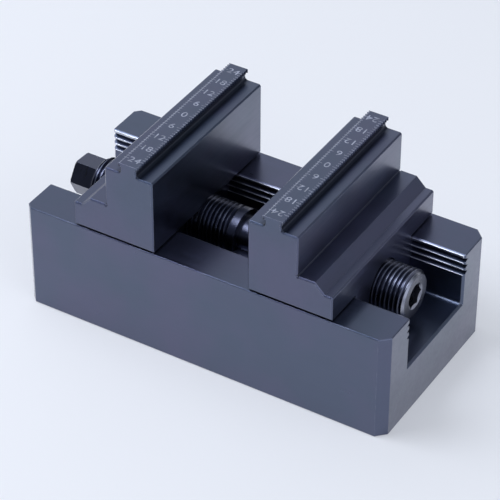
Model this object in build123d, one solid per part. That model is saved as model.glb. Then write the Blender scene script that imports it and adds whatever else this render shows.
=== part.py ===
from build123d import *
import os
from math import cos, radians, tan

# Self-centring machine vise, in millimetres.
# X runs along the vise, Y across it and Z up. The origin is the middle of the base's underside.

# Base block
base_length = 110.0
base_width = 54.0
base_height = 32.0
left_corner = 1.6           # chamfer of the two upright edges at the left end
right_corner = 2.6          # chamfer of the two upright edges at the right end
base_edge_break = 0.2       # small chamfer round the top and the underside

# Channel in the base
channel_width = 29.8
floor_fillet = 1.0
lip_width = 0.5             # flat bevel between the top face and each wall, measured across
lip_drop = 0.3              # the same bevel, measured down
channel_mouth = 0.6         # chamfer round the channel where it leaves each end face

# Guide grooves in the channel's walls, and the ridges that run in them
groove_count = 3
groove_pitch = 2.0
groove_mouth = 1.7
groove_depth = 1.8
groove_start = 0.6          # plain wall between the bevel and the first groove
guide_clearance = 0.15      # between tongue and wall, and over each ridge's flanks
ridge_tip = 0.3             # flat at the top of each ridge

# Jaws
jaw_block = 14.6            # along X, the gripping block alone
jaw_foot = 10.2             # along X, the stepped foot behind the block
jaw_underside = 0.5         # gap between the jaw and the base's top face
ledge_height = 22.0         # from the jaw's underside to the ledge beside the strip
foot_high = 10.0            # upper level of the foot above the jaw's underside
foot_low = 7.2              # lower level
foot_flat = 5.0             # length of the upper level
corner_relief = 0.25        # radius of the relief groove between block and foot
jaw_edge_break = 0.4
jaw_opening = 28.5          # between the two blocks as they stand in the rest pose

# Strip on top of each jaw, with its toothed lips
strip_width = 5.9           # over the tips of the teeth
strip_height = 3.2
lip_height = 1.1
lip_overhang = 0.6          # how far the teeth stand out from the strip's neck
strip_fillet = 1.0
tooth_pitch = 1.0
tooth_depth = 0.45

# Tongue under each jaw
tongue_setback = 3.2        # from the gripping side of the block to the tongue's end
tongue_floor_gap = 0.5
bore_floor_wall = 2.4       # of the tongue, under the spindle's bore
tongue_corner = 1.4
spindle_clearance = 0.3     # radial, in the jaws' bores

# Spindle
thread_diameter = 14.0
spindle_setback = 6.4       # from each end of the base in to the thread's end
thread_chamfer = 1.0
shoulder_end = 4.9          # from the middle to the outer side of each plain shoulder
relief_width = 0.4
relief_diameter = 12.4
neck_width = 4.9
neck_diameter = 10.4
hex_across_flats = 10.0
hex_length = 6.9
hex_turn = -5.0             # degrees about the spindle's axis
hex_end_chamfer = 0.3
socket_across_flats = 6.0
socket_depth = 7.0
socket_mouth = 0.15

# Centre bearing, a fork that stands in the spindle's neck
fork_side_clearance = 0.1   # to each of the neck's two side faces
fork_round_clearance = 0.1  # radial, to the neck
fork_width = 18.0           # across the vise
fork_drop = 1.5             # from the spindle's axis down to the tops of the prongs
fork_slot_clearance = 0.15  # between the fork and the slot in the base
flange_length = 16.0        # along X
flange_width = 34.0         # across the vise
flange_thickness = 7.0
flange_corner = 3.0
flange_inset = 0.5          # from the base's underside up to the flange's lower face
pocket_clearance = 0.2

# Cap screws of the bearing, M4
screw_spacing = 25.0
screw_diameter = 4.0
screw_length = 8.0          # under the head
screw_clearance_diameter = 4.5
screw_head_diameter = 7.0
screw_head_height = 4.0
screw_head_pocket = 8.0     # diameter of the counterbore
screw_head_inset = 0.4
screw_socket = 3.0          # across flats
screw_socket_depth = 2.0
screw_thread_clearance = 0.05
screw_hole_depth = 6.5
floor_web = 2.0             # between the end of a screw's hole and the channel's floor

# Fixing holes in the underside
fixing_spacing_x = 84.0
fixing_spacing_y = 41.5
fixing_hole_diameter = 5.0  # minor diameter of the M6 thread
fixing_hole_depth = 12.0
dowel_spacing = 64.0
dowel_diameter = 6.0
dowel_depth = 8.0
dowel_mouth = 0.4

cut_past = 1.0              # how far a cutting shape runs past the surface that it cuts

# Places that follow from the sizes
half_length = base_length / 2
half_width = base_width / 2
wall = channel_width / 2
flange_bottom = flange_inset
flange_top = flange_bottom + flange_thickness
channel_floor = flange_top + screw_hole_depth + floor_web
thread_radius = thread_diameter / 2
bore_radius = thread_radius + spindle_clearance
spindle_height = channel_floor + tongue_floor_gap + bore_floor_wall + bore_radius
face_x = jaw_opening / 2
block_end = face_x + jaw_block
jaw_end = block_end + jaw_foot
jaw_bottom = base_height + jaw_underside
ledge = jaw_bottom + ledge_height
strip_top = ledge + strip_height
strip_middle = face_x + jaw_block / 2
thread_half_length = half_length - spindle_setback
hex_end = -thread_half_length - hex_length
spindle_axis = Axis((0, 0, spindle_height), (1, 0, 0))
hex_corner = hex_across_flats / 2 / cos(radians(30))
socket_corner = socket_across_flats / 2 / cos(radians(30))
fork_thickness = neck_width - 2 * fork_side_clearance
groove_top = base_height - lip_drop - groove_start


def near(value, place):
    """Whether a measured place is the given one."""
    return abs(value - place) < 0.01


def block(x_range, y_range, z_range):
    """A box between two limits on each axis."""
    sizes = [high - low for low, high in (x_range, y_range, z_range)]
    middles = [(high + low) / 2 for low, high in (x_range, y_range, z_range)]
    return Pos(*middles) * Box(*sizes)


def rod_x(radius, start, end):
    """A round bar along the spindle's axis."""
    middle = Pos((start + end) / 2, 0, spindle_height)
    return middle * Rot(0, 90, 0) * Cylinder(radius, abs(end - start))


def section_along_x(points, start, end):
    """A closed outline of (y, z) points, pulled from one X to another."""
    outline = make_face(Plane.YZ.offset(start) * Polyline(*points, close=True))
    return extrude(outline, amount=end - start, dir=(1, 0, 0))


def section_along_y(face, half):
    """A face in the XZ plane, pulled to both sides."""
    return extrude(face, amount=half, both=True)


def groove_middles():
    """The height of each guide groove, from the top one down."""
    return [groove_top - groove_mouth / 2 - number * groove_pitch for number in range(groove_count)]


def groove_side():
    """The points down one wall of the channel, past every groove."""
    points = []
    for middle in groove_middles():
        points.append((wall, middle + groove_mouth / 2))
        points.append((wall + groove_depth, middle))
        points.append((wall, middle - groove_mouth / 2))
    return points


def ridge_side():
    """The points down one side of the tongue, past every ridge."""
    half = wall - guide_clearance
    flank = groove_mouth / 2 / groove_depth
    root_half = groove_mouth / 2 + guide_clearance * flank - guide_clearance
    tip_half = ridge_tip / 2
    tip = half + (root_half - tip_half) / flank
    points = []
    for middle in groove_middles():
        points.append((half, middle + root_half))
        points.append((tip, middle + tip_half))
        points.append((tip, middle - tip_half))
        points.append((half, middle - root_half))
    return points


def both_sides(side):
    """One side's (y, z) points, and the same points mirrored in reverse order."""
    return side + [(-y, z) for y, z in reversed(side)]


def make_channel():
    """The space of the channel, with its grooves."""
    side = [
        (wall + lip_width, base_height + cut_past),
        (wall + lip_width, base_height),
        (wall, base_height - lip_drop),
    ]
    side += groove_side() + [(wall, channel_floor)]
    space = section_along_x(both_sides(side), -half_length - cut_past, half_length + cut_past)
    floor_edges = [edge for edge in space.edges().filter_by(Axis.X) if near(edge.center().Z, channel_floor)]
    return fillet(floor_edges, floor_fillet)


def make_mouth(end):
    """The flare that breaks the edges where the channel leaves one end face."""
    height = base_height + cut_past - channel_floor
    middle = channel_floor + height / 2
    wide = Rectangle(channel_width + 2 * channel_mouth, height + 2 * channel_mouth)
    wide = Plane.YZ.offset(end * half_length) * Pos(0, middle, 0) * wide
    narrow = Rectangle(channel_width, height)
    narrow = Plane.YZ.offset(end * (half_length - channel_mouth)) * Pos(0, middle, 0) * narrow
    return loft([wide, narrow])


def blind_hole(x, y, diameter, depth, bottom=0.0):
    """A hole that goes up from the underside, or from a height above it."""
    return Pos(x, y, bottom + depth / 2) * Cylinder(diameter / 2, depth)


def make_base():
    body = block((-half_length, half_length), (-half_width, half_width), (0, base_height))
    for end, size in ((-half_length, left_corner), (half_length, right_corner)):
        uprights = [edge for edge in body.edges().filter_by(Axis.Z) if near(edge.center().X, end)]
        body = chamfer(uprights, size)
    rims = body.faces().filter_by(Axis.Z).edges()
    body = chamfer(rims, base_edge_break)
    body -= make_channel()
    for end in (-1, 1):
        body -= make_mouth(end)

    slot = SlotOverall(
        fork_width + 2 * fork_slot_clearance, fork_thickness + 2 * fork_slot_clearance, rotation=90
    )
    body -= extrude(slot, amount=channel_floor + cut_past)
    pocket = RectangleRounded(
        flange_length + 2 * pocket_clearance, flange_width + 2 * pocket_clearance, flange_corner
    )
    body -= extrude(pocket, amount=flange_top)

    for side in (-1, 1):
        tapped = screw_diameter + 2 * screw_thread_clearance
        body -= blind_hole(0, side * screw_spacing / 2, tapped, screw_hole_depth, flange_top)
        dowel_x = side * dowel_spacing / 2
        body -= blind_hole(dowel_x, 0, dowel_diameter, dowel_depth)
        mouth_radius = dowel_diameter / 2 + dowel_mouth
        body -= Pos(dowel_x, 0, dowel_mouth / 2) * Cone(mouth_radius, dowel_diameter / 2, dowel_mouth)
        for end in (-1, 1):
            fixing_x, fixing_y = end * fixing_spacing_x / 2, side * fixing_spacing_y / 2
            body -= blind_hole(fixing_x, fixing_y, fixing_hole_diameter, fixing_hole_depth)
    return body


def make_bearing():
    """The fork and its flange, one piece."""
    flange = RectangleRounded(flange_length, flange_width, flange_corner)
    body = Pos(0, 0, flange_bottom) * extrude(flange, amount=flange_thickness)
    blade = SlotOverall(fork_width, fork_thickness, rotation=90)
    blade_height = spindle_height - fork_drop - flange_bottom
    body += Pos(0, 0, flange_bottom) * extrude(blade, amount=blade_height)
    body -= rod_x(neck_diameter / 2 + fork_round_clearance, -flange_length, flange_length)

    for side in (-1, 1):
        y = side * screw_spacing / 2
        through = Cylinder(screw_clearance_diameter / 2, flange_thickness + cut_past)
        body -= Pos(0, y, flange_bottom + flange_thickness / 2) * through
        head_depth = screw_head_height + screw_head_inset
        head_room = Cylinder(screw_head_pocket / 2, head_depth)
        body -= Pos(0, y, flange_bottom + head_depth / 2) * head_room
    return body


def make_screw(side):
    """A socket head cap screw that points up, with its head in the flange's counterbore."""
    head_bottom = flange_bottom + screw_head_inset
    head = Cylinder(screw_head_diameter / 2, screw_head_height)
    head = Pos(0, 0, head_bottom + screw_head_height / 2) * head
    shank_bottom = head_bottom + screw_head_height
    shank = Pos(0, 0, shank_bottom + screw_length / 2) * Cylinder(screw_diameter / 2, screw_length)
    socket = RegularPolygon(screw_socket / 2, 6, major_radius=False)
    socket = Pos(0, 0, head_bottom) * extrude(socket, amount=screw_socket_depth)
    return Pos(0, side * screw_spacing / 2, 0) * (head + shank - socket)


def make_spindle():
    """The turned bar with its two hexagons."""
    neck = neck_width / 2
    neck_radius = neck_diameter / 2
    relief_radius = relief_diameter / 2
    half = [
        (neck, neck_radius),
        (neck, thread_radius),
        (shoulder_end, thread_radius),
        (shoulder_end, relief_radius),
        (shoulder_end + relief_width, relief_radius),
        (shoulder_end + relief_width + thread_radius - relief_radius, thread_radius),
        (thread_half_length - thread_chamfer, thread_radius),
        (thread_half_length, thread_radius - thread_chamfer),
    ]
    outline = [(thread_half_length, 0)] + half[::-1]
    outline += [(-x, r) for x, r in half]
    outline += [(-thread_half_length, 0)]
    face = make_face(Plane.XZ * Pos(0, spindle_height, 0) * Polyline(*outline, close=True))
    body = revolve(face, spindle_axis)

    hexagon = RegularPolygon(hex_across_flats / 2, 6, major_radius=False, rotation=hex_turn)
    hexagon = Plane((-thread_half_length, 0, spindle_height), x_dir=(0, 1, 0), z_dir=(-1, 0, 0)) * hexagon
    bar = extrude(hexagon, amount=hex_length)
    trim = [
        (-thread_half_length, 0),
        (-thread_half_length, hex_corner),
        (hex_end + hex_end_chamfer * tan(radians(30)), hex_corner),
        (hex_end, hex_corner - hex_end_chamfer),
        (hex_end, 0),
    ]
    trim = make_face(Plane.XZ * Pos(0, spindle_height, 0) * Polyline(*trim, close=True))
    body += bar & revolve(trim, spindle_axis)

    socket = RegularPolygon(socket_across_flats / 2, 6, major_radius=False, rotation=hex_turn)
    socket_plane = Plane((thread_half_length, 0, spindle_height), x_dir=(0, 1, 0), z_dir=(-1, 0, 0))
    body -= extrude(socket_plane * socket, amount=socket_depth)
    mouth_radius = socket_corner + socket_mouth
    mouth = Cone(mouth_radius, mouth_radius - 2 * socket_mouth, 2 * socket_mouth)
    body -= socket_plane * Pos(0, 0, socket_mouth) * mouth
    return body


def jaw_section():
    """The right-hand jaw's outline in the XZ plane, without lips and tongue."""
    neck_half = strip_width / 2 - lip_overhang
    slope = foot_high - foot_low
    break_size = jaw_edge_break
    points = [
        (face_x, jaw_bottom),
        (face_x, ledge - break_size),
        (face_x + break_size, ledge),
        (strip_middle - neck_half, ledge),
        (strip_middle - neck_half, strip_top - lip_height / 2),
        (strip_middle + neck_half, strip_top - lip_height / 2),
        (strip_middle + neck_half, ledge),
        (block_end - break_size, ledge),
        (block_end, ledge - break_size),
        (block_end, jaw_bottom + foot_high),
        (block_end + foot_flat, jaw_bottom + foot_high),
        (block_end + foot_flat + slope, jaw_bottom + foot_low),
        (jaw_end - break_size, jaw_bottom + foot_low),
        (jaw_end, jaw_bottom + foot_low - break_size),
        (jaw_end, jaw_bottom),
    ]
    outline = make_face(Polyline(*points, close=True))
    roots = [
        corner
        for corner in outline.vertices()
        if near(corner.Y, ledge) and near(abs(corner.X - strip_middle), neck_half)
    ]
    outline = fillet(roots, strip_fillet)
    outline -= Pos(block_end, jaw_bottom + foot_high) * Circle(corner_relief)
    return Plane.XZ * outline


def make_lips():
    """The strip's top with a row of teeth along both sides."""
    tip = strip_width / 2
    count = int(base_width / tooth_pitch)
    start = -count * tooth_pitch / 2
    row = []
    for number in range(count):
        row.append((tip, start + number * tooth_pitch))
        row.append((tip - tooth_depth, start + (number + 0.5) * tooth_pitch))
    row.append((tip, start + count * tooth_pitch))
    row = [(tip, -half_width)] + row[1:-1] + [(tip, half_width)]
    outline = row + [(-x, y) for x, y in reversed(row)]
    face = make_face(Polyline(*outline, close=True))
    return Pos(strip_middle, 0, strip_top - lip_height) * extrude(face, amount=lip_height)


def make_tongue():
    """The guide under the jaw, with its ridges."""
    half = wall - guide_clearance
    bottom = channel_floor + tongue_floor_gap
    side = [(half, jaw_bottom + cut_past)]
    side += ridge_side()
    side += [(half, bottom + tongue_corner), (half - tongue_corner, bottom)]
    return section_along_x(both_sides(side), face_x + tongue_setback, jaw_end)


def make_jaw():
    """The right-hand jaw at its place in the rest pose."""
    body = section_along_y(jaw_section(), half_width)
    ends = [edge for edge in body.edges() if near(abs(edge.center().Y), half_width)]
    body = chamfer(ends, jaw_edge_break)
    body += make_lips()
    body += make_tongue()
    body -= rod_x(bore_radius, face_x - cut_past, jaw_end + cut_past)
    return body


jaw = make_jaw()
nodes = {
    "base": make_base(),
    "centre_bearing": make_bearing(),
    "bearing_screw_front": make_screw(-1),
    "bearing_screw_rear": make_screw(1),
    "spindle": make_spindle(),
    "jaw_right": jaw,
    "jaw_left": Rot(0, 0, 180) * jaw,
}

os.makedirs("parts", exist_ok=True)
for name, solid in nodes.items():
    export_step(solid, f"parts/{name}.step")
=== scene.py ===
import math

import bmesh
import bpy
from bpy.props import FloatProperty, FloatVectorProperty, IntProperty, PointerProperty
from mathutils import Matrix, Vector


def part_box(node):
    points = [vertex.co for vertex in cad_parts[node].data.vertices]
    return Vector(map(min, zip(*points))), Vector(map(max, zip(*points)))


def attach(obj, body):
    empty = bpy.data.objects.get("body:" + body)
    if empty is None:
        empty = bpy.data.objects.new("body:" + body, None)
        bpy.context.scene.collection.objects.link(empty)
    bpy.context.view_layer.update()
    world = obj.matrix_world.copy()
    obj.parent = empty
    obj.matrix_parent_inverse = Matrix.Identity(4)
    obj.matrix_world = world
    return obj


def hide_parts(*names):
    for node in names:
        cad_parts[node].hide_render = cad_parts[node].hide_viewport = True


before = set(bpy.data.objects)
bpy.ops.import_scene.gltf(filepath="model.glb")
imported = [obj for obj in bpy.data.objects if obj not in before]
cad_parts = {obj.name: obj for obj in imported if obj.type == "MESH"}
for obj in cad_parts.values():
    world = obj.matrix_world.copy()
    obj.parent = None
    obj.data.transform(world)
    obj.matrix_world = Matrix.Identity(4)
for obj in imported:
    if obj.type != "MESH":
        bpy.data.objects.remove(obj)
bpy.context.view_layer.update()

bl_info = {
    "name": "Self-centring machine vise",
    "version": (1, 0, 0),
    "blender": (4, 5, 0),
    "location": "3D View > Sidebar > Vise",
    "description": "Blackened steel, threads, graduation and studio for a small machine vise",
    "category": "Object",
}

MM = 0.001

# Making the pieces.
WELD = 0.001 * MM           # points nearer than this are one point
SMOOTH_LIMIT = math.radians(20)     # an edge sharper than this stays sharp
HALF_FLAT = math.radians(30)        # half the angle that one flat of a hexagon takes up
FLANK_ANGLE = math.radians(30)      # of the thread's flanks, from a plane across the spindle
CHAMFER_ANGLE = math.radians(30)    # of both hexagons' chamfers, from a plane across the spindle
CHAMFER_STEPS = 6           # in the length of the outside hexagon's chamfer
SPARE_TURNS = 3             # turns of thread that are made past its ends and cut off
MARKING_OUT = 0.8           # share of the marking's thickness that stands out of the steel
DECIMALS = 7                # of a metre, to which the spindle's points are rounded
ORDER = Vector((1, 0.6180339, 0.4142135))   # a slanting way, along which its points are sorted

# Grain: how the grinding lines' noise is scaled along X, Y and Z. A small share draws it out.
ALONG_BASE = (0.05, 1, 1)
ACROSS_BASE = (1, 0.05, 1)
ROUND_SPINDLE = (1, 0.1, 0.1)
NO_GRAIN = (1, 1, 1)

# Noise: a scale is in patches to a metre, and a pattern sets in between two noise values.
SOFT = 2.0                  # noise with little detail
FINE = 3.0                  # noise with more detail
DRIFT_SCALE = 38
DRIFT_ENDS = (0.38, 0.62)
GRIND_SCALE = 900
GRIND_ENDS = (0.3, 0.7)
GRIND_CHANGE = (-0.03, 0.05)        # of the roughness, at those two noise values
MARKING_SCALE = 700
MARKING_ENDS = (0.35, 0.6)
EDGE_NICKS = dict(scale=420, low=0.38, high=0.66, least=0.15, most=0.85)
HANDLING = dict(scale=160, low=0.35, high=0.65, least=-0.03, most=0.03, detail=FINE)   # of roughness
CHANNEL_POLISH = dict(scale=250, low=0.35, high=0.60, least=0.55, most=1.0)
# Patches of the jaws' worn edge line and painted highlight lines.
JAW_WEAR_AND_HIGHLIGHT = dict(scale=300, low=0.30, high=0.60, least=0.4, most=1.0)
THREAD_WEAR = dict(scale=300, low=0.35, high=0.65, least=0.25, most=0.9)
TURNED_END = dict(scale=500, low=0.35, high=0.65, least=0.55, most=1.0)

# Where the finishes begin and end.
EDGE_COSINES = (0.995, 0.80)        # between a face and its broken edge: no wear, and full wear
SKIN = 0.02 * MM            # depth in which a finish that belongs to one face sets in
EDGE_LINE = (0.10 * MM, 0.18 * MM, 0.9)     # bare steel, partly wear and partly painted highlight, is full to the first, ends at the second; strength
CORNER_LINE = (0.15 * MM, 0.30 * MM, 0.6)   # the same as a painted highlight, in the corner above the jaw's foot
TEETH_RIM = 0.1 * MM        # the painted shade on the lips' teeth ends this far below the strip's top
CREST_WEAR = 0.05 * MM      # how far down from the thread's crests the wear begins
TURNED_FADE = 0.1 * MM      # width over which one turned finish passes into the next
SOCKET_SHINE = 0.35         # share of polished steel that shows in the socket
FACE_SHINE = 0.03           # on the spindle's end face
CHAMFER_SHINE = 0.40        # on the chamfer round it
WHITE = (1, 1, 1, 1)

# The studio.
PHOTO_SIDE = 500            # pixels along each side of the photograph
SENSOR_WIDTH = 36.0         # of the camera, in millimetres
LAMP_AIM = (0, 0, 0.04)     # the point between the jaws that the lamps face
FLOOR_REACH = 6.0           # metres from the vise to each edge of the floor
FLOOR_GAP = 0.05 * MM       # from the vise's underside down to the floor
# Cosines of the angle to a part of the surround at which it begins to show, and shows in full.
HORIZON_COSINES = (-0.45, -0.05)    # from straight down
DARK_REAR_COSINES = (0.766, 0.978)
DARK_FRONT_COSINES = (0.70, 0.92)


class FinishSettings(bpy.types.PropertyGroup):
    """Colours and gloss of the steel."""

    steel_violet: FloatVectorProperty(
        name="Violet steel", description="Blackened steel where it drifts to violet",
        subtype="COLOR", default=(0.080, 0.086, 0.158), min=0, max=1,
    )
    steel_teal: FloatVectorProperty(
        name="Teal steel", description="Blackened steel where it drifts to teal",
        subtype="COLOR", default=(0.064, 0.086, 0.146), min=0, max=1,
    )
    polished_steel: FloatVectorProperty(
        name="Polished steel", description="Steel of the channel's crests and the spindle's right end",
        subtype="COLOR", default=(0.66, 0.68, 0.76), min=0, max=1,
    )
    # Also painted as a highlight line along the strips' left top edges and in the corner above the jaws'
    # feet.
    bare_steel: FloatVectorProperty(
        name="Worn edge", description="Steel that shows where the blackening has worn off",
        subtype="COLOR", default=(0.38, 0.40, 0.49), min=0, max=1,
    )
    spindle_steel: FloatVectorProperty(
        name="Spindle steel", description="Turned and blackened steel of the spindle",
        subtype="COLOR", default=(0.036, 0.042, 0.084), min=0, max=1,
    )
    spindle_crest: FloatVectorProperty(
        name="Thread crest", description="Steel that shows along the thread's worn crests",
        subtype="COLOR", default=(0.22, 0.25, 0.35), min=0, max=1,
    )
    roughness: FloatProperty(
        name="Base roughness", description="Roughness of the base's ground faces",
        subtype="FACTOR", default=0.33, min=0, max=1,
    )
    jaw_roughness: FloatProperty(
        name="Jaw roughness", description="Roughness of the jaws' ground faces",
        subtype="FACTOR", default=0.40, min=0, max=1,
    )
    spindle_roughness: FloatProperty(
        name="Spindle roughness", description="Roughness of the spindle's turned steel",
        subtype="FACTOR", default=0.30, min=0, max=1,
    )
    bearing_roughness: FloatProperty(
        name="Bearing roughness", description="Roughness of the centre bearing",
        subtype="FACTOR", default=0.38, min=0, max=1,
    )
    screw_roughness: FloatProperty(
        name="Screw roughness", description="Roughness of the bearing's screws",
        subtype="FACTOR", default=0.45, min=0, max=1,
    )
    film_roughness: FloatProperty(
        name="Film roughness", description="Roughness of the thin oil film",
        subtype="FACTOR", default=0.25, min=0, max=1,
    )
    edge_radius: FloatProperty(
        name="Edge radius", description="Radius by which sharp edges look broken",
        unit="LENGTH", default=0.23 * MM, min=0,
    )
    spindle_edge: FloatProperty(
        name="Spindle edge radius", description="Radius by which the spindle's sharp edges look broken",
        unit="LENGTH", default=0.05 * MM, min=0,
    )
    # Painted shade: how bright the jaws' steel stays on the lips' teeth, under the lips and on the ledge
    # beside them.
    undercut_shade: FloatProperty(
        name="Undercut shade", description="Brightness of the oily steel on and under the toothed lips",
        subtype="FACTOR", default=0.24, min=0, max=1,
    )
    # Painted shade: how far out from the strip's neck the painted shade on the ledge fades away.
    oil_spread: FloatProperty(
        name="Oil spread", description="How far out from the strip's neck the oil on the ledge fades away",
        unit="LENGTH", default=2.0 * MM, min=0,
    )


class ChannelSettings(bpy.types.PropertyGroup):
    """Sizes of the grooved channel that its polish follows."""

    channel_half: FloatProperty(
        name="Half channel", description="From the middle to the crests of the channel's walls",
        unit="LENGTH", default=14.9 * MM, min=0,
    )
    groove_low: FloatProperty(
        name="Lowest groove", description="Height of the lowest groove's lower edge",
        unit="LENGTH", default=25.4 * MM, min=0,
    )
    polish_depth: FloatProperty(
        name="Polish", description="How far behind the crests the polish ends",
        unit="LENGTH", default=0.20 * MM, min=0,
    )


class ThreadSettings(bpy.types.PropertyGroup):
    """Sizes of the turned spindle that its own box doesn't give."""

    pitch: FloatProperty(
        name="Pitch", description="Advance of the thread in one turn",
        unit="LENGTH", default=1.25 * MM, min=0.1 * MM,
    )
    depth: FloatProperty(
        name="Depth", description="Depth of the thread",
        unit="LENGTH", default=0.77 * MM, min=0,
    )
    end_chamfer: FloatProperty(
        name="End chamfer", description="Chamfer at both ends of the thread",
        unit="LENGTH", default=1.0 * MM, min=0,
    )
    shoulder_end: FloatProperty(
        name="Shoulder", description="From the middle to the outer side of each plain shoulder",
        unit="LENGTH", default=4.9 * MM, min=0,
    )
    shoulder_break: FloatProperty(
        name="Shoulder edge", description="Chamfer on the shoulders' edges",
        unit="LENGTH", default=0.15 * MM, min=0,
    )
    relief_width: FloatProperty(
        name="Relief width", description="Width of the undercut beside each shoulder",
        unit="LENGTH", default=0.4 * MM, min=0,
    )
    relief_radius: FloatProperty(
        name="Relief radius", description="Radius at the bottom of the undercut",
        unit="LENGTH", default=6.2 * MM, min=0,
    )
    neck_half: FloatProperty(
        name="Half neck", description="Half the width of the neck that sits in the bearing",
        unit="LENGTH", default=2.45 * MM, min=0,
    )
    neck_radius: FloatProperty(
        name="Neck radius", description="Radius of the neck",
        unit="LENGTH", default=5.2 * MM, min=0,
    )
    hexagon_flats: FloatProperty(
        name="Hexagon", description="Outside hexagon, across flats",
        unit="LENGTH", default=10.0 * MM, min=0,
    )
    hexagon_length: FloatProperty(
        name="Hexagon length", description="Length of the outside hexagon",
        unit="LENGTH", default=6.9 * MM, min=0,
    )
    hexagon_chamfer: FloatProperty(
        name="Hexagon chamfer", description="How much smaller in radius the hexagon's end is",
        unit="LENGTH", default=0.3 * MM, min=0,
    )
    hexagon_turn: FloatProperty(
        name="Hexagon turn", description="Turn of both hexagons about the spindle's axis",
        subtype="ANGLE", default=math.radians(-3.5),
    )
    socket_flats: FloatProperty(
        name="Socket", description="Hexagon socket, across flats",
        unit="LENGTH", default=6.0 * MM, min=0,
    )
    socket_depth: FloatProperty(
        name="Socket depth", description="Depth of the hexagon socket",
        unit="LENGTH", default=7.0 * MM, min=0,
    )
    socket_mouth: FloatProperty(
        name="Socket mouth", description="Chamfer round the socket's mouth",
        unit="LENGTH", default=0.30 * MM, min=0,
    )
    steps: IntProperty(
        name="Steps", description="Steps in one turn of the thread", default=72, min=12,
    )


class ScaleSettings(bpy.types.PropertyGroup):
    """Sizes of the strip on each jaw and of its graduation."""

    strip_setback: FloatProperty(
        name="Setback", description="From the jaw's gripping face to the middle of its strip",
        unit="LENGTH", default=7.3 * MM, min=0,
    )
    strip_height: FloatProperty(
        name="Strip height", description="From the ledge up to the strip's top",
        unit="LENGTH", default=3.2 * MM, min=0,
    )
    strip_half: FloatProperty(
        name="Half strip", description="From the strip's middle to the tips of its teeth",
        unit="LENGTH", default=2.95 * MM, min=0,
    )
    lip_height: FloatProperty(
        name="Lip height", description="Height of the toothed lips along the strip's top",
        unit="LENGTH", default=1.1 * MM, min=0,
    )
    lip_overhang: FloatProperty(
        name="Overhang", description="How far the lips stand out over the undercut",
        unit="LENGTH", default=0.6 * MM, min=0,
    )
    tooth_depth: FloatProperty(
        name="Tooth depth", description="Depth of the gaps between the lips' teeth",
        unit="LENGTH", default=0.45 * MM, min=0,
    )
    foot_top: FloatProperty(
        name="Foot top", description="Height of the foot's upper face above the floor",
        unit="LENGTH", default=42.5 * MM, min=0,
    )
    numeral_height: FloatProperty(
        name="Numeral height", description="Height of the numerals",
        unit="LENGTH", default=2.15 * MM, min=0,
    )
    numeral_stretch: FloatProperty(
        name="Numeral width", description="Width of the numerals against the typeface's own",
        subtype="FACTOR", default=1.15, min=0.5, max=2,
    )
    numeral_shift: FloatProperty(
        name="Numeral shift", description="How far a number of two digits is moved along its own line",
        unit="LENGTH", default=0.25 * MM,
    )
    line_width: FloatProperty(
        name="Line width", description="Width of each marked line",
        unit="LENGTH", default=0.12 * MM, min=0,
    )
    line_outer: FloatProperty(
        name="Outer end", description="From the strip's middle to the outer end of each line",
        unit="LENGTH", default=2.9 * MM, min=0,
    )
    short_line: FloatProperty(
        name="Short line", description="Length of the one-millimetre lines",
        unit="LENGTH", default=0.90 * MM, min=0,
    )
    long_line: FloatProperty(
        name="Long line", description="Length of the lines beside the numerals",
        unit="LENGTH", default=1.40 * MM, min=0,
    )
    thickness: FloatProperty(
        name="Thickness", description="Thickness of the marking, part of which lies in the steel",
        unit="LENGTH", default=0.012 * MM, min=0,
    )
    reach: IntProperty(
        name="Reach", description="Last value to each side of the middle, in millimetres", default=24,
    )
    numeral_step: IntProperty(
        name="Numeral step", description="Millimetres from one numeral to the next", default=6, min=1,
    )
    colour: FloatVectorProperty(
        name="Marking", description="Colour of the marked lines and numerals",
        subtype="COLOR", default=(0.38, 0.40, 0.49), min=0, max=1,
    )
    fading: FloatProperty(
        name="Faded marking", description="Brightness that is left where the marking has faded",
        subtype="FACTOR", default=0.55, min=0, max=1,
    )
    roughness: FloatProperty(
        name="Marking roughness", description="Roughness of the marking",
        subtype="FACTOR", default=0.55, min=0, max=1,
    )


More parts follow.
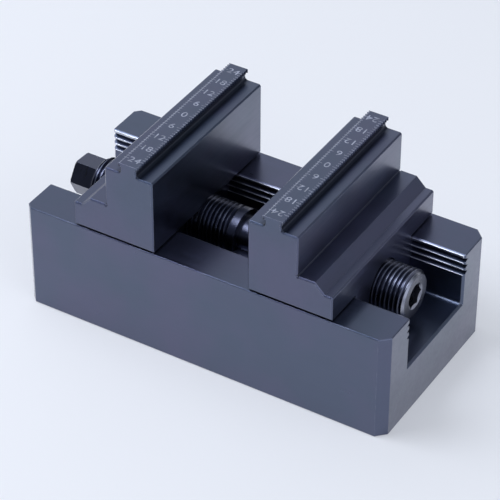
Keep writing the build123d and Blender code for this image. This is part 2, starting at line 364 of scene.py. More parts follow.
class StageSettings(bpy.types.PropertyGroup):
    """Floor, light and camera."""

    floor_colour: FloatVectorProperty(
        name="Floor", description="Colour of the floor",
        subtype="COLOR", default=(0.895, 0.885, 0.880), min=0, max=1,
    )
    seen_floor: FloatVectorProperty(
        name="Floor as seen", description="Colour that the floor and the background come to in the picture",
        subtype="COLOR", default=(0.815, 0.847, 0.922), min=0, max=1,
    )
    sky_colour: FloatVectorProperty(
        name="Surround", description="Colour of the light from all round",
        subtype="COLOR", default=(0.64, 0.69, 0.78), min=0, max=1,
    )
    horizon_colour: FloatVectorProperty(
        name="Horizon", description="Colour of the light from low down, where the pale sweep rises",
        subtype="COLOR", default=(0.86, 0.88, 0.93), min=0, max=1,
    )
    dark_colour: FloatVectorProperty(
        name="Dark sides", description="Light from the two sides with neither screen nor lamp",
        subtype="COLOR", default=(0.08, 0.09, 0.10), min=0, max=1,
    )
    dark_rear: FloatVectorProperty(
        name="Rear dark side", description="Way from the vise to the middle of the dark side behind it",
        subtype="DIRECTION", default=(0.35, 0.68, 0.64),
    )
    dark_front: FloatVectorProperty(
        name="Front dark side", description="Way from the vise to the middle of the dark side before it",
        subtype="DIRECTION", default=(-0.41, -0.80, 0.42),
    )
    shadow_fill: FloatProperty(
        name="Shadow fill", description="Share of the floor's pale colour that no shadow takes away",
        subtype="FACTOR", default=0.35, min=0, max=1,
    )
    lamp_colour: FloatVectorProperty(
        name="Lamps", description="Colour of the three soft lamps",
        subtype="COLOR", default=(0.83, 0.88, 1.0), min=0, max=1,
    )
    lamp_towards: FloatVectorProperty(
        name="Overhead lamp", description="Way from the vise to the soft lamp overhead",
        subtype="DIRECTION", default=(-0.41, -0.28, 0.87),
    )
    left_towards: FloatVectorProperty(
        name="Left lamp", description="Way from the vise to the soft lamp at the left",
        subtype="DIRECTION", default=(-0.85, -0.15, 0.50),
    )
    right_towards: FloatVectorProperty(
        name="Right lamp", description="Way from the vise to the soft lamp at the right",
        subtype="DIRECTION", default=(0.90, -0.25, 0.33),
    )
    lamp_distance: FloatProperty(
        name="Lamp distance", description="From the vise to the soft lamp overhead",
        unit="LENGTH", default=0.70, min=0.1,
    )
    lamp_size: FloatProperty(
        name="Lamp size", description="Side of the square soft lamp overhead",
        unit="LENGTH", default=0.31, min=0.01,
    )
    lamp_power: FloatProperty(
        name="Lamp power", description="Power of the soft lamp overhead",
        unit="POWER", default=2.1, min=0,
    )
    side_distance: FloatProperty(
        name="Side lamps' distance", description="From the vise to the soft lamps at both sides",
        unit="LENGTH", default=0.80, min=0.1,
    )
    side_size: FloatProperty(
        name="Side lamps' size", description="Side of each square soft lamp at the vise's sides",
        unit="LENGTH", default=0.70, min=0.01,
    )
    right_power: FloatProperty(
        name="Right lamp power", description="Power of the soft lamp at the right",
        unit="POWER", default=1.5, min=0,
    )
    left_power: FloatProperty(
        name="Left lamp power", description="Power of the soft lamp at the left",
        unit="POWER", default=2.0, min=0,
    )
    azimuth: FloatProperty(
        name="Azimuth", description="Camera's angle round the vise, from the front",
        subtype="ANGLE", default=math.radians(31.22),
    )
    elevation: FloatProperty(
        name="Elevation", description="Camera's angle above the horizon",
        subtype="ANGLE", default=math.radians(37.57),
    )
    roll: FloatProperty(
        name="Roll", description="Camera's turn about its own axis",
        subtype="ANGLE", default=math.radians(0.22),
    )
    place: FloatVectorProperty(
        name="Camera", description="Place of the camera",
        subtype="TRANSLATION", default=(0.27276, -0.45224, 0.42791),
    )
    focal_pixels: FloatProperty(
        name="Focal length", description="Focal length in pixels of the photograph", default=2496.1, min=1,
    )


def node(tree, kind, inputs=None, **settings):
    """A shader node with some of its settings and input values."""
    made = tree.nodes.new(kind)
    for key, value in settings.items():
        setattr(made, key, value)
    for key, value in (inputs or {}).items():
        made.inputs[key].default_value = value
    return made


def ramp(tree, source, places, colours):
    """A colour that passes from one to another between two values of a source."""
    made = node(tree, "ShaderNodeValToRGB")
    for element, place, colour in zip(made.color_ramp.elements, places, colours):
        element.position = place
        element.color = (*colour, 1)
    tree.links.new(source, made.inputs["Fac"])
    return made.outputs["Color"]


def noise(tree, scale, stretch=NO_GRAIN, detail=SOFT):
    """Noise in the piece's own coordinates, in patches about 1 / scale metres wide."""
    coords = node(tree, "ShaderNodeTexCoord")
    mapping = node(tree, "ShaderNodeMapping", {"Scale": stretch})
    tree.links.new(coords.outputs["Object"], mapping.inputs["Vector"])
    made = node(tree, "ShaderNodeTexNoise", {"Scale": scale, "Detail": detail})
    tree.links.new(mapping.outputs["Vector"], made.inputs["Vector"])
    return made.outputs["Fac"]


def mapped(tree, source, low, high, to_low, to_high):
    """A value moved from one range to another."""
    made = node(tree, "ShaderNodeMapRange", {
        "From Min": low, "From Max": high, "To Min": to_low, "To Max": to_high,
    })
    tree.links.new(source, made.inputs["Value"])
    return made.outputs["Result"]


def rising(tree, source, low, high, strength=1.0):
    """A mask that rises from 0 to its strength between two values of a source."""
    return mapped(tree, source, low, high, 0.0, strength)


def falling(tree, source, low, high, strength=1.0):
    """A mask that falls from its strength to 0 between two values of a source."""
    return mapped(tree, source, low, high, strength, 0.0)


def patches(tree, scale, low, high, least, most, detail=SOFT):
    """A pattern of noise, from its least strength to its most."""
    return mapped(tree, noise(tree, scale, detail=detail), low, high, least, most)


def joined(tree, operation, first, second):
    """Two values worked into one."""
    made = node(tree, "ShaderNodeMath", operation=operation)
    tree.links.new(first, made.inputs[0])
    tree.links.new(second, made.inputs[1])
    return made.outputs["Value"]


def product(tree, first, *others):
    """Masks multiplied, which leaves only the places that are in all of them."""
    for other in others:
        first = joined(tree, "MULTIPLY", first, other)
    return first


def mixed(tree, blend, factor, first, second):
    """Two colours mixed; each may be a socket or a plain colour, and no factor means a full mix."""
    made = node(tree, "ShaderNodeMix", data_type="RGBA", blend_type=blend)
    for key, value in (("Factor", 1.0 if factor is None else factor), ("A", first), ("B", second)):
        if isinstance(value, bpy.types.NodeSocket):
            tree.links.new(value, made.inputs[key])
        else:
            made.inputs[key].default_value = value
    return made.outputs["Result"]


def edge_mask(tree, bevel):
    """1 on a sharp edge and 0 away from it."""
    geometry = node(tree, "ShaderNodeNewGeometry")
    dot = node(tree, "ShaderNodeVectorMath", operation="DOT_PRODUCT")
    tree.links.new(bevel.outputs["Normal"], dot.inputs[0])
    tree.links.new(geometry.outputs["True Normal"], dot.inputs[1])
    return mapped(tree, dot.outputs["Value"], *EDGE_COSINES, 0.0, 1.0)


def new_material(name):
    """A new material, its nodes and its shader."""
    made = bpy.data.materials.new(name)
    made.use_nodes = True
    return made, made.node_tree, made.node_tree.nodes["Principled BSDF"]


def steel(name, dark, light, roughness, grain, settings, edge_radius=None):
    """Blackened steel: a slow colour drift, grinding lines, a soft oil film and worn edges."""
    made, tree, shader = new_material(name)
    shader.inputs["Metallic"].default_value = 1.0
    shader.inputs["Coat Weight"].default_value = 1.0
    shader.inputs["Coat Roughness"].default_value = settings.film_roughness

    drift = noise(tree, DRIFT_SCALE, detail=FINE)
    body_colour = ramp(tree, drift, DRIFT_ENDS, (dark, light))
    bevel = node(tree, "ShaderNodeBevel", {"Radius": edge_radius or settings.edge_radius}, samples=6)
    worn = product(tree, edge_mask(tree, bevel), patches(tree, **EDGE_NICKS))
    colour = mixed(tree, "MIX", worn, body_colour, (*settings.bare_steel, 1))
    tree.links.new(colour, shader.inputs["Base Color"])

    lines = noise(tree, GRIND_SCALE, stretch=grain, detail=FINE)
    smoothest, roughest = (roughness + change for change in GRIND_CHANGE)
    ground = mapped(tree, lines, *GRIND_ENDS, smoothest, roughest)
    tree.links.new(joined(tree, "ADD", ground, patches(tree, **HANDLING)), shader.inputs["Roughness"])
    bump = node(tree, "ShaderNodeBump", {"Strength": 0.05, "Distance": 0.01 * MM})
    tree.links.new(lines, bump.inputs["Height"])
    tree.links.new(bevel.outputs["Normal"], bump.inputs["Normal"])
    tree.links.new(bump.outputs["Normal"], shader.inputs["Normal"])
    return made


def overlay(made, blend, factor, colour):
    """Works one more layer into a material's base colour."""
    base = made.node_tree.nodes["Principled BSDF"].inputs["Base Color"]
    below = base.links[0].from_socket
    made.node_tree.links.new(mixed(made.node_tree, blend, factor, below, colour), base)


def parts_of_place(tree):
    """The X, Y and Z of a place on the piece."""
    coords = node(tree, "ShaderNodeTexCoord")
    split = node(tree, "ShaderNodeSeparateXYZ")
    tree.links.new(coords.outputs["Object"], split.inputs["Vector"])
    return split.outputs


def distance_from(tree, value, middle):
    """How far a value lies from a middle, to either side."""
    made = node(tree, "ShaderNodeMath", {1: middle}, operation="SUBTRACT")
    tree.links.new(value, made.inputs[0])
    far = node(tree, "ShaderNodeMath", operation="ABSOLUTE")
    tree.links.new(made.outputs["Value"], far.inputs[0])
    return far.outputs["Value"]


def base_steel(sizes, settings):
    """The base's steel, with the crests between the channel's grooves polished by the jaws."""
    made = steel(
        "blackened_steel", settings.steel_violet, settings.steel_teal, settings.roughness,
        ALONG_BASE, settings,
    )
    tree = made.node_tree
    place = parts_of_place(tree)
    across = distance_from(tree, place["Y"], 0.0)
    half, depth = sizes.channel_half, sizes.polish_depth
    before = falling(tree, across, half + depth / 2, half + depth)
    behind = rising(tree, across, half - depth, half - depth / 2)
    above = rising(tree, place["Z"], sizes.groove_low - depth, sizes.groove_low)
    polished = product(tree, before, behind, above, patches(tree, **CHANNEL_POLISH))
    overlay(made, "MIX", polished, (*settings.polished_steel, 1))
    return made


def jaw_steel(sizes, settings):
    """The jaws' steel: painted shade on and under the toothed lips, a line of bare steel along the strips'
    left top edges that is partly wear and partly painted highlight, and a painted highlight in the corner
    above the foot.
    """
    made = steel(
        "jaw_steel", settings.steel_violet, settings.steel_teal, settings.jaw_roughness,
        ACROSS_BASE, settings,
    )
    tree = made.node_tree
    low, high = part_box("jaw_right")
    middle = low.x + sizes.strip_setback
    place = parts_of_place(tree)
    sideways = distance_from(tree, place["X"], 0.0)

    # A line of bare steel along the strips' left top edges, partly wear and partly painted highlight, and a
    # painted highlight in the corner above the jaw's foot, both in patches.
    top = rising(tree, place["Z"], high.z - 1.5 * SKIN, high.z - 0.5 * SKIN)
    flat_half = sizes.strip_half - sizes.tooth_depth
    to_edge = distance_from(tree, distance_from(tree, place["X"], -flat_half), middle)
    edge = product(tree, top, falling(tree, to_edge, *EDGE_LINE))
    to_face = distance_from(tree, sideways, low.x + 2 * sizes.strip_setback)
    to_foot = distance_from(tree, place["Z"], sizes.foot_top)
    corner = falling(tree, joined(tree, "MAXIMUM", to_face, to_foot), *CORNER_LINE)
    worn = product(tree, joined(tree, "MAXIMUM", edge, corner), patches(tree, **JAW_WEAR_AND_HIGHLIGHT))
    overlay(made, "MIX", worn, (*settings.bare_steel, 1))

    # Painted shade on the ledge beside the strip's neck, under the lips and down the lips' teeth. It fades
    # out across the ledge and up the teeth.
    reach = distance_from(tree, sideways, middle)
    neck = sizes.strip_half - sizes.lip_overhang
    ledge = mapped(tree, reach, neck, neck + settings.oil_spread, settings.undercut_shade, 1.0)
    lip = high.z - sizes.lip_height
    teeth = mapped(tree, place["Z"], lip, high.z - TEETH_RIM, settings.undercut_shade, 1.0)
    shade = mixed(tree, "MIX", rising(tree, place["Z"], lip - SKIN, lip), ledge, teeth)
    foot_of_strip = high.z - sizes.strip_height
    above = rising(tree, place["Z"], foot_of_strip - 2.5 * SKIN, foot_of_strip - SKIN)
    outside = rising(tree, reach, neck - SKIN, neck + SKIN)
    painted_shade = mixed(tree, "MIX", product(tree, above, outside), WHITE, shade)
    overlay(made, "MULTIPLY", None, painted_shade)
    # The painted shade also weakens the coat's reflection there.
    tree.links.new(painted_shade, tree.nodes["Principled BSDF"].inputs["Coat Weight"])
    return made


def turned_steel(sizes, settings):
    """The spindle's steel: dark, with bare metal on the thread's crests, the right end and in the socket."""
    low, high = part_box("spindle")
    radius, end = (high.z - low.z) / 2, high.x
    made = steel(
        "spindle_steel", settings.spindle_steel, settings.spindle_steel, settings.spindle_roughness,
        ROUND_SPINDLE, settings, settings.spindle_edge,
    )
    tree = made.node_tree
    coords = node(tree, "ShaderNodeTexCoord")
    across = node(tree, "ShaderNodeMapping", {
        "Location": (0, 0, -(low.z + high.z) / 2), "Scale": (0, 1, 1),
    })
    tree.links.new(coords.outputs["Object"], across.inputs["Vector"])
    from_axis = node(tree, "ShaderNodeVectorMath", operation="LENGTH")
    tree.links.new(across.outputs["Vector"], from_axis.inputs[0])
    reach = from_axis.outputs["Value"]
    along = parts_of_place(tree)["X"]

    crest = rising(tree, reach, radius - CREST_WEAR, radius - 0.5 * SKIN)
    to_middle = distance_from(tree, along, 0.0)
    threaded = rising(tree, to_middle, sizes.shoulder_end, sizes.shoulder_end + 2 * TURNED_FADE)
    worn = product(tree, crest, threaded, patches(tree, **THREAD_WEAR))
    overlay(made, "MIX", worn, (*settings.spindle_crest, 1))

    mouth = corner_radius(sizes.socket_flats) + sizes.socket_mouth
    core = falling(tree, reach, mouth - 2 * SKIN, mouth + 4 * SKIN)
    broached = product(tree, core, rising(tree, along, 0.0, MM, SOCKET_SHINE))
    rim, shelf = radius - sizes.end_chamfer, end - sizes.end_chamfer
    outer = rising(tree, along, shelf, shelf + 2 * TURNED_FADE)
    faced = mapped(tree, reach, rim, rim + TURNED_FADE, FACE_SHINE, CHAMFER_SHINE)
    machined = joined(tree, "MAXIMUM", broached, product(tree, outer, faced))
    shining = product(tree, machined, patches(tree, **TURNED_END))
    overlay(made, "MIX", shining, (*settings.polished_steel, 1))
    return made


def pale_marking(sizes):
    """The pale marking of the graduation, faded in places."""
    made, tree, shader = new_material("scale_marking")
    shader.inputs["Roughness"].default_value = sizes.roughness
    faded = [sizes.fading * part for part in sizes.colour]
    colour = ramp(tree, noise(tree, MARKING_SCALE), MARKING_ENDS, (faded, sizes.colour))
    tree.links.new(colour, shader.inputs["Base Color"])
    return made


def finish_piece(obj, material):
    """Gives every face of a piece one finish."""
    if obj.material_slots:
        for place in obj.material_slots:
            place.material = material
    else:
        obj.data.materials.append(material)


def piece(name, bm):
    """A new object from a bmesh, with normals outwards and its sharp edges kept sharp."""
    bmesh.ops.recalc_face_normals(bm, faces=bm.faces)
    for face in bm.faces:
        face.smooth = True
    for edge in bm.edges:
        edge.smooth = edge.is_manifold and edge.calc_face_angle() < SMOOTH_LIMIT
    mesh = bpy.data.meshes.new(name)
    bm.to_mesh(mesh)
    bm.free()
    obj = bpy.data.objects.new(name, mesh)
    bpy.context.scene.collection.objects.link(obj)
    return obj


def all_of(bm):
    """Every point, edge and face of a bmesh."""
    return bm.verts[:] + bm.edges[:] + bm.faces[:]


def picked(items, kind):
    """The items of one kind among what a bmesh operator returns."""
    return [item for item in items if isinstance(item, kind)]


def loop_verts(loop):
    """The points of a loop of edges, each one once."""
    return list({vert for edge in loop for vert in edge.verts})


def extend(bm, loop, x):
    """Extrudes a loop round the X axis to a new place along it, and returns the new loop."""
    made = bmesh.ops.extrude_edge_only(bm, edges=loop)["geom"]
    verts = picked(made, bmesh.types.BMVert)
    bmesh.ops.translate(bm, verts=verts, vec=(x - min(vert.co.x for vert in verts), 0, 0))
    return picked(made, bmesh.types.BMEdge)


def grow(bm, loop, x, radius):
    """Extrudes a round loop to a new place and radius, and returns the new loop."""
    loop = extend(bm, loop, x)
    verts = loop_verts(loop)
    factor = radius / max(math.hypot(vert.co.y, vert.co.z) for vert in verts)
    bmesh.ops.scale(bm, verts=verts, vec=(1, factor, factor))
    return loop


def close_flat(bm, loop):
    """Closes a flat loop with triangles round its middle."""
    made = bmesh.ops.edgeloop_fill(bm, edges=loop)
    bmesh.ops.poke(bm, faces=made["faces"], center_mode="BOUNDS")


def settle(bm):
    """Rounds the points and puts them and the faces in one order, so that each run gives the same mesh."""
    for vert in bm.verts:
        vert.co = [round(part, DECIMALS) for part in vert.co]
    bm.verts.sort(key=lambda vert: vert.co.dot(ORDER))
    bm.faces.sort(key=lambda face: sum(vert.co.dot(ORDER) for vert in face.verts) / len(face.verts))


def corner_radius(flats):
    """From a hexagon's middle to its corners."""
    return flats / 2 / math.cos(HALF_FLAT)


def make_hexagon(loop, flats, turn):
    """Moves a round loop's points to a hexagon, with a corner at the angle of its turn."""
    side = 2 * HALF_FLAT
    step = 2 * math.pi / len(loop)
    for vert in loop_verts(loop):
        angle = math.atan2(vert.co.z, vert.co.y) - turn
        corner = round(angle / side) * side
        if abs(angle - corner) < step / 2:
            angle = corner
        radius = flats / 2 / math.cos(angle % side - side / 2)
        vert.co.y = radius * math.cos(angle + turn)
        vert.co.z = radius * math.sin(angle + turn)


def open_loop(bm, x):
    """The open edges that lie in one plane across the X axis."""
    return [
        edge for edge in bm.edges
        if edge.is_boundary and all(abs(vert.co.x - x) < WELD for vert in edge.verts)
    ]


def limit_radius(verts, limit):
    """Turns points down to the radius that a function of X allows."""
    for vert in verts:
        radius = math.hypot(vert.co.y, vert.co.z)
        allowed = limit(vert.co.x)
        if radius > allowed:
            vert.co.y *= allowed / radius
            vert.co.z *= allowed / radius


def half_thread(bm, sizes, radius, start, end):
    """The thread of the right-hand half, cut square at both ends and turned to its chamfers."""
    pitch = sizes.pitch
    half_crest = pitch / 8 / 2      # the crest of a metric thread is an eighth of its pitch
    flank = sizes.depth * math.tan(FLANK_ANGLE)
    root = radius - sizes.depth
    first = start - SPARE_TURNS / 2 * pitch
    profile = (
        (0, radius), (half_crest, radius), (half_crest + flank, root),
        (pitch - half_crest - flank, root), (pitch - half_crest, radius), (pitch, radius),
    )
    verts = [bm.verts.new((first + x, 0, r)) for x, r in profile]
    edges = [bm.edges.new(pair) for pair in zip(verts, verts[1:])]
    flanks = [edges[1], edges[3]]
    bmesh.ops.subdivide_edges(bm, edges=flanks, cuts=2)
    bmesh.ops.spin(
        bm, geom=bm.verts[:] + bm.edges[:], cent=(0, 0, 0), axis=(1, 0, 0),
        dvec=(pitch / sizes.steps, 0, 0), angle=-2 * math.pi, steps=sizes.steps,
        use_merge=False, use_duplicate=False,
    )
    one_turn = all_of(bm)
    turns = math.ceil((end - start) / pitch) + SPARE_TURNS
    for number in range(1, turns):
        copy = bmesh.ops.duplicate(bm, geom=one_turn)["geom"]
        moved = picked(copy, bmesh.types.BMVert)
        bmesh.ops.translate(bm, verts=moved, vec=(number * pitch, 0, 0))
    bmesh.ops.remove_doubles(bm, verts=bm.verts, dist=WELD)
    for place, direction in ((start, 1), (end, -1)):
        bmesh.ops.bisect_plane(
            bm, geom=all_of(bm), dist=WELD / 10,
            plane_co=(place, 0, 0), plane_no=(direction, 0, 0), clear_inner=True,
        )
    end_radius = radius - sizes.end_chamfer
    limit_radius(bm.verts, lambda x: min(
        radius, sizes.relief_radius + x - start, end_radius + end - x
    ))


def build_spindle(sizes):
    """The turned bar with a thread of opposite hand on each half, and its two hexagons."""
    low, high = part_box("spindle")
    radius = (high.z - low.z) / 2
    height = (high.z + low.z) / 2
    end = high.x
    start = sizes.shoulder_end + sizes.relief_width
    bm = bmesh.new()
    half_thread(bm, sizes, radius, start, end)

    edge = sizes.shoulder_break
    loop = open_loop(bm, start)
    for x, r in (
        (sizes.shoulder_end, sizes.relief_radius),
        (sizes.shoulder_end, radius - edge),
        (sizes.shoulder_end - edge, radius),
        (sizes.neck_half + edge, radius),
        (sizes.neck_half, radius - edge),
        (sizes.neck_half, sizes.neck_radius),
        (0, sizes.neck_radius),
    ):
        loop = grow(bm, loop, x, r)
    bmesh.ops.mirror(bm, geom=all_of(bm), matrix=Matrix.Identity(4), merge_dist=WELD, axis="X")
    add_hexagon(bm, sizes, -end)
    add_socket(bm, sizes, end)
    bmesh.ops.remove_doubles(bm, verts=bm.verts, dist=WELD)
    bmesh.ops.translate(bm, verts=bm.verts, vec=(0, 0, height))
    settle(bm)
    return piece("spindle_turned", bm)


def add_hexagon(bm, sizes, start):
    """The outside hexagon, from the thread's left end outwards."""
    tip = start - sizes.hexagon_length
    tip_radius = corner_radius(sizes.hexagon_flats) - sizes.hexagon_chamfer
    taper = math.tan(CHAMFER_ANGLE)
    loop = extend(bm, open_loop(bm, start), start)
    make_hexagon(loop, sizes.hexagon_flats, sizes.hexagon_turn)
    length = sizes.hexagon_chamfer * taper
    for step in range(CHAMFER_STEPS + 1):
        loop = extend(bm, loop, tip + length * (1 - step / CHAMFER_STEPS))
        limit_radius(loop_verts(loop), lambda x: tip_radius + (x - tip) / taper)
    close_flat(bm, loop)


def add_socket(bm, sizes, end):
    """The hexagon socket in the thread's right end, with a round chamfer at its mouth."""
    mouth = corner_radius(sizes.socket_flats) + sizes.socket_mouth
    loop = grow(bm, open_loop(bm, end), end, mouth)
    loop = extend(bm, loop, end)
    make_hexagon(loop, sizes.socket_flats, sizes.hexagon_turn)
    for vert in loop_verts(loop):
        vert.co.x -= (mouth - math.hypot(vert.co.y, vert.co.z)) * math.tan(CHAMFER_ANGLE)
    loop = extend(bm, loop, end)
    verts = loop_verts(loop)
    bmesh.ops.scale(bm, verts=verts, vec=(0, 1, 1))
    bmesh.ops.translate(bm, verts=verts, vec=(end - sizes.socket_depth, 0, 0))
    close_flat(bm, loop)


def numeral_mesh(text, height, stretch, thickness):
    """A number as a thin mesh, centred on the origin."""
    curve = bpy.data.curves.new("numeral", "FONT")
    curve.body = text
    curve.extrude = 1.0
    holder = bpy.data.objects.new("numeral", curve)
    mesh = bpy.data.meshes.new_from_object(holder)
    bpy.data.objects.remove(holder)
    bpy.data.curves.remove(curve)
    corners = [vert.co for vert in mesh.vertices]
    low = Vector(min(co[axis] for co in corners) for axis in range(3))
    high = Vector(max(co[axis] for co in corners) for axis in range(3))
    factor = height / (high.y - low.y)
    scale = Matrix.Diagonal((stretch * factor, factor, thickness / (high.z - low.z), 1))
    mesh.transform(scale @ Matrix.Translation(-(low + high) / 2))
    return mesh


def build_scale(name, jaw, facing, sizes):
    """The graduation on one jaw's strip: numerals down the middle and lines along both edges."""
    low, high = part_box(jaw)
    grip = low.x if facing > 0 else high.x
    middle = grip + facing * sizes.strip_setback
    bm = bmesh.new()
    for value in range(-sizes.reach, sizes.reach + 1):
        y = value * MM
        numbered = value % sizes.numeral_step == 0
        length = sizes.long_line if numbered else sizes.short_line
        for side in (-1, 1):
            place = Matrix.Translation((side * (sizes.line_outer - length / 2), y, 0))
            shape = Matrix.Diagonal((length, sizes.line_width, sizes.thickness, 1))
            bmesh.ops.create_cube(bm, size=1, matrix=place @ shape)
        if numbered:
            text = str(abs(value))
            mesh = numeral_mesh(text, sizes.numeral_height, sizes.numeral_stretch, sizes.thickness)
            mesh.transform(Matrix.Translation((sizes.numeral_shift * (len(text) - 1), y, 0)))
            bm.from_mesh(mesh)
            bpy.data.meshes.remove(mesh)
    turn = Matrix.Rotation(math.pi if facing > 0 else 0, 4, "Z")
    place = Matrix.Translation((middle, 0, high.z + (MARKING_OUT - 0.5) * sizes.thickness))
    bmesh.ops.transform(bm, matrix=place @ turn, verts=bm.verts)
    return piece(name, bm)


class VISE_OT_dress_base(bpy.types.Operator):
    """Give the base its blackened, ground steel"""

    bl_idname = "vise.dress_base"
    bl_label = "Base"

    def execute(self, context):
        material = base_steel(context.scene.vise_channel, context.scene.vise_finish)
        finish_piece(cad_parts["base"], material)
        return {"FINISHED"}


class VISE_OT_dress_jaws(bpy.types.Operator):
    """Give both jaws their blackened, ground steel"""

    bl_idname = "vise.dress_jaws"
    bl_label = "Jaws"

    def execute(self, context):
        material = jaw_steel(context.scene.vise_scale, context.scene.vise_finish)
        for name in ("jaw_left", "jaw_right"):
            finish_piece(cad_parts[name], material)
        return {"FINISHED"}


class VISE_OT_turn_spindle(bpy.types.Operator):
    """Turn the spindle with its two threads, hexagon and socket"""

    bl_idname = "vise.turn_spindle"
    bl_label = "Spindle"

    def execute(self, context):
        sizes = context.scene.vise_thread
        spindle = build_spindle(sizes)
        finish_piece(spindle, turned_steel(sizes, context.scene.vise_finish))
        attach(spindle, "spindle")
        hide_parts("spindle")
        return {"FINISHED"}


class VISE_OT_dress_bearing(bpy.types.Operator):
    """Give the centre bearing and its screws their steel"""

    bl_idname = "vise.dress_bearing"
    bl_label = "Bearing and screws"

    def execute(self, context):
        settings = context.scene.vise_finish
        for steel_name, roughness, names in (
            ("bearing_steel", settings.bearing_roughness, ("centre_bearing",)),
            ("screw_steel", settings.screw_roughness, ("bearing_screw_front", "bearing_screw_rear")),
        ):
            material = steel(
                steel_name, settings.steel_violet, settings.steel_teal, roughness, NO_GRAIN, settings
            )
            for name in names:
                finish_piece(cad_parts[name], material)
        return {"FINISHED"}


class VISE_OT_mark_scales(bpy.types.Operator):
    """Mark the graduation on both jaws"""

    bl_idname = "vise.mark_scales"
    bl_label = "Graduation"

    def execute(self, context):
        sizes = context.scene.vise_scale
        marking = pale_marking(sizes)
        for name, jaw, facing in (("scale_left", "jaw_left", -1), ("scale_right", "jaw_right", 1)):
            scale = build_scale(name, jaw, facing, sizes)
            finish_piece(scale, marking)
            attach(scale, jaw)
        return {"FINISHED"}


class VISE_OT_set_stage(bpy.types.Operator):
    """Set the floor, the light and the camera"""

    bl_idname = "vise.set_stage"
    bl_label = "Studio"

    def execute(self, context):
        stage = context.scene.vise_stage
        add_floor(stage)
        add_surround(context.scene, stage)
        add_lamp(
            "soft_lamp_overhead", stage.lamp_colour, stage.lamp_towards,
            stage.lamp_distance, stage.lamp_size, stage.lamp_power,
        )
        left = add_lamp(
            "soft_lamp_left", stage.lamp_colour, stage.left_towards,
            stage.side_distance, stage.side_size, stage.left_power,
        )
        left.visible_glossy = False
        add_lamp(
            "soft_lamp_right", stage.lamp_colour, stage.right_towards,
            stage.side_distance, stage.side_size, stage.right_power,
        )
        add_camera(context.scene, stage)
        context.scene.view_settings.view_transform = "Standard"
        return {"FINISHED"}


def add_floor(stage):
    """A large plain pale floor just under the vise."""
    bm = bmesh.new()
    bmesh.ops.create_grid(bm, x_segments=1, y_segments=1, size=FLOOR_REACH)
    bmesh.ops.translate(bm, verts=bm.verts, vec=(0, 0, -FLOOR_GAP))
    floor = piece("studio_floor", bm)
    made, tree, shader = new_material("studio_floor")
    shader.inputs["Base Color"].default_value = (*stage.floor_colour, 1)
    shader.inputs["Roughness"].default_value = 0.8
    shader.inputs["Specular IOR Level"].default_value = 0.1
    path = node(tree, "ShaderNodeLightPath")
    seen = joined(tree, "MAXIMUM", path.outputs["Is Camera Ray"], path.outputs["Is Glossy Ray"])
    pale = node(tree, "ShaderNodeEmission", {"Color": (*stage.seen_floor, 1)})
    mix = node(tree, "ShaderNodeMixShader")
    tree.links.new(rising(tree, seen, 0.0, 1.0, stage.shadow_fill), mix.inputs["Fac"])
    tree.links.new(shader.outputs["BSDF"], mix.inputs[1])
    tree.links.new(pale.outputs["Emission"], mix.inputs[2])
    tree.links.new(mix.outputs["Shader"], tree.nodes["Material Output"].inputs["Surface"])
    finish_piece(floor, made)


def add_surround(scene, stage):
    """Pale light from all round with two darker sides, which the camera sees as the floor's colour."""
    world = bpy.data.worlds.new("surround")
    scene.world = world
    world.use_nodes = True
    tree = world.node_tree
    light = tree.nodes["Background"]
    coords = node(tree, "ShaderNodeTexCoord")
    colour = (*stage.sky_colour, 1)
    for towards, cosines, end_colour in (
        ((0, 0, -1), HORIZON_COSINES, stage.horizon_colour),
        (stage.dark_rear, DARK_REAR_COSINES, stage.dark_colour),
        (stage.dark_front, DARK_FRONT_COSINES, stage.dark_colour),
    ):
        facing = node(
            tree, "ShaderNodeVectorMath", {1: Vector(towards).normalized()}, operation="DOT_PRODUCT"
        )
        tree.links.new(coords.outputs["Generated"], facing.inputs[0])
        reached = rising(tree, facing.outputs["Value"], *cosines)
        colour = mixed(tree, "MIX", reached, colour, (*end_colour, 1))
    tree.links.new(colour, light.inputs["Color"])
    seen = node(tree, "ShaderNodeBackground", {"Color": (*stage.seen_floor, 1)})
    path = node(tree, "ShaderNodeLightPath")
    mix = node(tree, "ShaderNodeMixShader")
    tree.links.new(path.outputs["Is Camera Ray"], mix.inputs["Fac"])
    tree.links.new(light.outputs["Background"], mix.inputs[1])
    tree.links.new(seen.outputs["Background"], mix.inputs[2])
    tree.links.new(mix.outputs["Shader"], tree.nodes["World Output"].inputs["Surface"])


def add_lamp(name, colour, towards, distance, size, power):
    """A soft square lamp that faces the vise."""
    data = bpy.data.lights.new(name, "AREA")
    data.color = colour
    data.shape = "SQUARE"
    data.size = size
    data.energy = power
    lamp = bpy.data.objects.new(name, data)
    bpy.context.scene.collection.objects.link(lamp)
    towards = Vector(towards).normalized()
    lamp.location = Vector(LAMP_AIM) + towards * distance
    lamp.rotation_euler = towards.to_track_quat("Z", "Y").to_euler()
    lamp.visible_camera = False
    return lamp


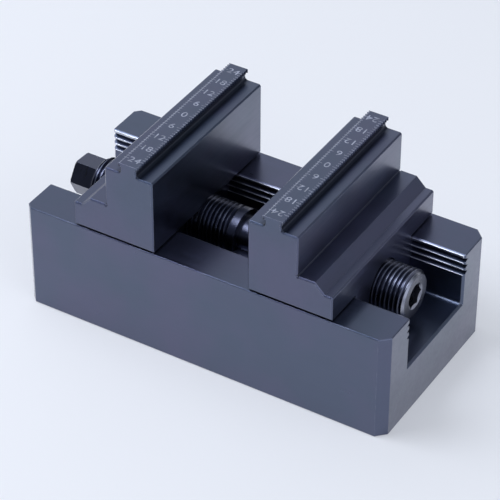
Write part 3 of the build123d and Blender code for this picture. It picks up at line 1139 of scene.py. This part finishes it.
def add_camera(scene, stage):
    """The camera at the photograph's place and angle."""
    data = bpy.data.cameras.new("camera")
    data.sensor_width = SENSOR_WIDTH
    data.lens = stage.focal_pixels / PHOTO_SIDE * SENSOR_WIDTH
    data.clip_start = 0.05
    data.clip_end = 50.0
    camera = bpy.data.objects.new("camera", data)
    scene.collection.objects.link(camera)
    turn = Matrix.Rotation(stage.azimuth, 4, "Z") @ Matrix.Rotation(math.pi / 2 - stage.elevation, 4, "X")
    turn = turn @ Matrix.Rotation(stage.roll, 4, "Z")
    camera.matrix_world = Matrix.Translation(stage.place) @ turn
    scene.camera = camera


class VISE_PT_panel(bpy.types.Panel):
    """Lists the vise's pieces and their sizes"""

    bl_label = "Machine vise"
    bl_space_type = "VIEW_3D"
    bl_region_type = "UI"
    bl_category = "Vise"

    def draw(self, context):
        for operator in OPERATORS:
            self.layout.operator(operator.bl_idname)
        for group in GROUPS:
            box = self.layout.box()
            settings = getattr(context.scene, group)
            for name in settings.bl_rna.properties.keys():
                if name not in ("rna_type", "name"):
                    box.prop(settings, name)


OPERATORS = (
    VISE_OT_dress_base,
    VISE_OT_dress_jaws,
    VISE_OT_turn_spindle,
    VISE_OT_dress_bearing,
    VISE_OT_mark_scales,
    VISE_OT_set_stage,
)
GROUPS = {
    "vise_finish": FinishSettings,
    "vise_channel": ChannelSettings,
    "vise_thread": ThreadSettings,
    "vise_scale": ScaleSettings,
    "vise_stage": StageSettings,
}
CLASSES = (*GROUPS.values(), *OPERATORS, VISE_PT_panel)


def register():
    """Makes the settings, the operators and the panel known to Blender."""
    for cls in CLASSES:
        bpy.utils.register_class(cls)
    for name, group in GROUPS.items():
        setattr(bpy.types.Scene, name, PointerProperty(type=group))


def unregister():
    """Takes out what register puts in."""
    for name in GROUPS:
        delattr(bpy.types.Scene, name)
    for cls in reversed(CLASSES):
        bpy.utils.unregister_class(cls)


def main():
    """Makes the settings known and builds the whole scene."""
    register()
    bpy.ops.vise.dress_base()
    bpy.ops.vise.dress_jaws()
    bpy.ops.vise.turn_spindle()
    bpy.ops.vise.dress_bearing()
    bpy.ops.vise.mark_scales()
    bpy.ops.vise.set_stage()


if __name__ == "__main__":
    main()
